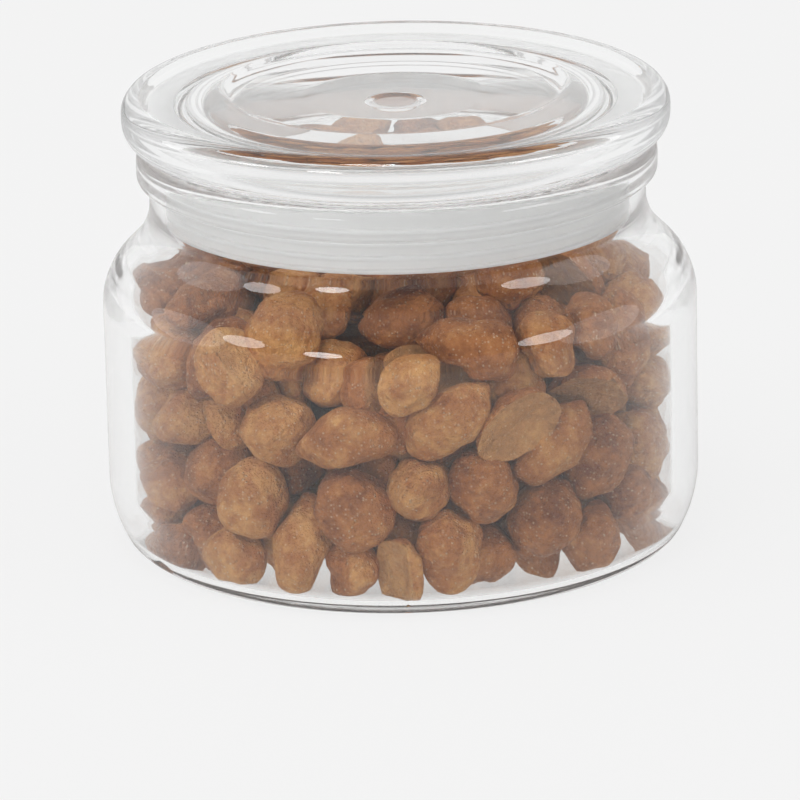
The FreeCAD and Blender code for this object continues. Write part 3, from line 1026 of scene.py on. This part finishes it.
class BuildStudio(bpy.types.Operator):
    """Set the pale floor, the soft lamps and the camera"""

    bl_idname = "peanut_jar.build_studio"
    bl_label = "Studio"

    def execute(self, context):
        scene = context.scene
        settings = scene.peanut_jar_studio
        grey = tinted((settings.background,) * 3)
        self.lay_floor(scene, grey)
        self.light_room(scene, grey)
        for name, around, up, distance, wide, high, glow in (
            ("left_softbox", -66.0, 27.0, 1.1, 0.34, 0.24, 5.0),
            ("right_softbox", 60.0, 27.0, 1.1, 0.44, 0.24, 5.0),
            ("left_wall", -94.0, 20.0, 1.2, 0.9, 0.6, 1.2),
            ("right_wall", 86.0, 20.0, 1.2, 0.9, 0.6, 1.2),
            ("front_softbox", -31.0, 26.0, 1.2, 0.3, 0.16, 9.0),
            ("overhead_softbox", -30.0, 76.0, 1.0, 0.26, 0.16, 12.0),
        ):
            lamp = bpy.data.lights.new(name, "AREA")
            lamp.shape, lamp.size, lamp.size_y = "ELLIPSE", wide, high
            lamp.energy = glow * wide * high * math.pi
            holder = bpy.data.objects.new(name, lamp)
            scene.collection.objects.link(holder)
            turn, rise = math.radians(around), math.radians(up)
            away = Vector((
                math.sin(turn) * math.cos(rise), -math.cos(turn) * math.cos(rise), math.sin(rise)
            ))
            holder.location = LAMP_AIM + distance * away
            holder.rotation_euler = away.to_track_quat("Z", "Y").to_euler()
            holder.visible_transmission = False
        self.place_camera(scene, settings)
        scene.view_settings.view_transform = "Standard"
        scene.cycles.max_bounces = RAY_LIMIT
        scene.cycles.glossy_bounces = RAY_LIMIT
        scene.cycles.transmission_bounces = RAY_LIMIT
        scene.cycles.transparent_max_bounces = 16
        return {"FINISHED"}

    def light_room(self, scene, grey):
        """A pale room, darker on the near side; its light comes from above and in front."""
        world = bpy.data.worlds.new("pale_room")
        scene.world = world
        world.use_nodes = True
        tree = world.node_tree
        ways = tree.nodes.new("ShaderNodeTexCoord").outputs["Generated"]
        toward = tree.nodes.new("ShaderNodeVectorMath")
        toward.operation = "DOT_PRODUCT"
        toward.inputs[1].default_value = BRIGHTEST_WAY
        tree.links.new(ways, toward.inputs[0])
        dome = ranged(tree, toward.outputs["Value"], -0.1, 1.0, 0.1, 2.4)
        parts = tree.nodes.new("ShaderNodeSeparateXYZ")
        tree.links.new(ways, parts.inputs["Vector"])
        seen = ranged(tree, parts.outputs["Y"], -0.5, 0.4, 0.35, 1.0)
        rays = tree.nodes.new("ShaderNodeLightPath").outputs
        lights = reckoned(tree, "GREATER_THAN", rays["Diffuse Depth"], 0.5)
        background = tree.nodes["Background"]
        background.inputs["Color"].default_value = grey
        strength = blended(tree, lights, seen, dome, "FLOAT")
        tree.links.new(strength, background.inputs["Strength"])

    def lay_floor(self, scene, grey):
        """A wide pale floor that glows as the background does, but keeps the shadow."""
        bm = bmesh.new()
        bmesh.ops.create_grid(bm, x_segments=1, y_segments=1, size=FLOOR_SIZE)
        bmesh.ops.translate(bm, vec=(0, 0, -FLOOR_DROP), verts=bm.verts)
        mesh = bpy.data.meshes.new("floor")
        bm.to_mesh(mesh)
        bm.free()
        floor = bpy.data.objects.new("floor", mesh)
        scene.collection.objects.link(floor)
        material, tree, shader = new_material("pale_floor")
        mesh.materials.append(material)
        shader.inputs["Base Color"].default_value = tinted((FLOOR_GREY,) * 3)
        shader.inputs["Roughness"].default_value = 0.6
        glow = tree.nodes.new("ShaderNodeEmission")
        glow.inputs["Color"].default_value = grey
        glow.inputs["Strength"].default_value = FLOOR_GLOW
        rays = tree.nodes.new("ShaderNodeLightPath").outputs
        seen = reckoned(tree, "MAXIMUM", rays["Is Camera Ray"], rays["Is Transmission Ray"])
        shown = reckoned(tree, "MULTIPLY_ADD", rays["Is Glossy Ray"], MIRRORED_GLOW, seen)
        blend = tree.nodes.new("ShaderNodeMixShader")
        tree.links.new(reckoned(tree, "MULTIPLY", shown, GLOW_SHARE), blend.inputs["Fac"])
        tree.links.new(shader.outputs["BSDF"], blend.inputs[1])
        tree.links.new(glow.outputs["Emission"], blend.inputs[2])
        output = tree.nodes["Material Output"]
        tree.links.new(blend.outputs["Shader"], output.inputs["Surface"])

    def place_camera(self, scene, settings):
        """A long lens a little above the jar, tipped down and rolled slightly."""
        camera = bpy.data.cameras.new("camera")
        camera.sensor_width = 36.0
        camera.lens = settings.lens
        camera.clip_start = 0.01
        holder = bpy.data.objects.new("camera", camera)
        scene.collection.objects.link(holder)
        scene.camera = holder
        back = Vector((0.0, -math.cos(settings.elevation), math.sin(settings.elevation)))
        right = Vector((1.0, 0.0, 0.0))
        holder.location = CAMERA_AIM + back * settings.distance
        facing = Matrix((right, back.cross(right), back)).transposed()
        facing = facing @ Matrix.Rotation(-settings.roll, 3, "Z")
        facing = facing @ Matrix.Rotation(-settings.dip, 3, "X")
        holder.rotation_euler = facing.to_euler()


class PeanutJarPanel(bpy.types.Panel):
    """Lists the jar's settings and the buttons that build it"""

    bl_idname = "VIEW3D_PT_peanut_jar"
    bl_label = "Peanut Jar"
    bl_space_type = "VIEW_3D"
    bl_region_type = "UI"
    bl_category = "Peanut Jar"

    def draw(self, context):
        layout = self.layout
        for title, holder in SETTINGS:
            box = layout.box()
            box.label(text=title)
            group = getattr(context.scene, holder)
            for name in group.bl_rna.properties.keys():
                if name not in ("rna_type", "name"):
                    box.prop(group, name)
        for operator in OPERATORS:
            layout.operator(operator.bl_idname)


SETTINGS = (
    ("Jar", "peanut_jar_glass"),
    ("Lid", "peanut_jar_lid"),
    ("Seal", "peanut_jar_seal"),
    ("Peanuts", "peanut_jar_peanuts"),
    ("Colours", "peanut_jar_colours"),
    ("Studio", "peanut_jar_studio"),
)
GROUPS = (JarSizes, LidSizes, SealSizes, PeanutSettings, FinishColours, StudioSettings)
OPERATORS = (BuildStudio, BuildJar, BuildLid, BuildSeal, FillPeanuts)


def register():
    for group, (_, holder) in zip(GROUPS, SETTINGS):
        bpy.utils.register_class(group)
        setattr(bpy.types.Scene, holder, PointerProperty(type=group))
    for operator in OPERATORS:
        bpy.utils.register_class(operator)
    bpy.utils.register_class(PeanutJarPanel)


def unregister():
    bpy.utils.unregister_class(PeanutJarPanel)
    for operator in reversed(OPERATORS):
        bpy.utils.unregister_class(operator)
    for group, (_, holder) in zip(GROUPS, SETTINGS):
        delattr(bpy.types.Scene, holder)
        bpy.utils.unregister_class(group)


def main():
    register()
    bpy.ops.peanut_jar.build_studio()
    bpy.ops.peanut_jar.build_jar()
    bpy.ops.peanut_jar.build_lid()
    bpy.ops.peanut_jar.build_seal()
    bpy.ops.peanut_jar.fill_peanuts()
    bpy.context.view_layer.update()


if __name__ == "__main__":
    main()
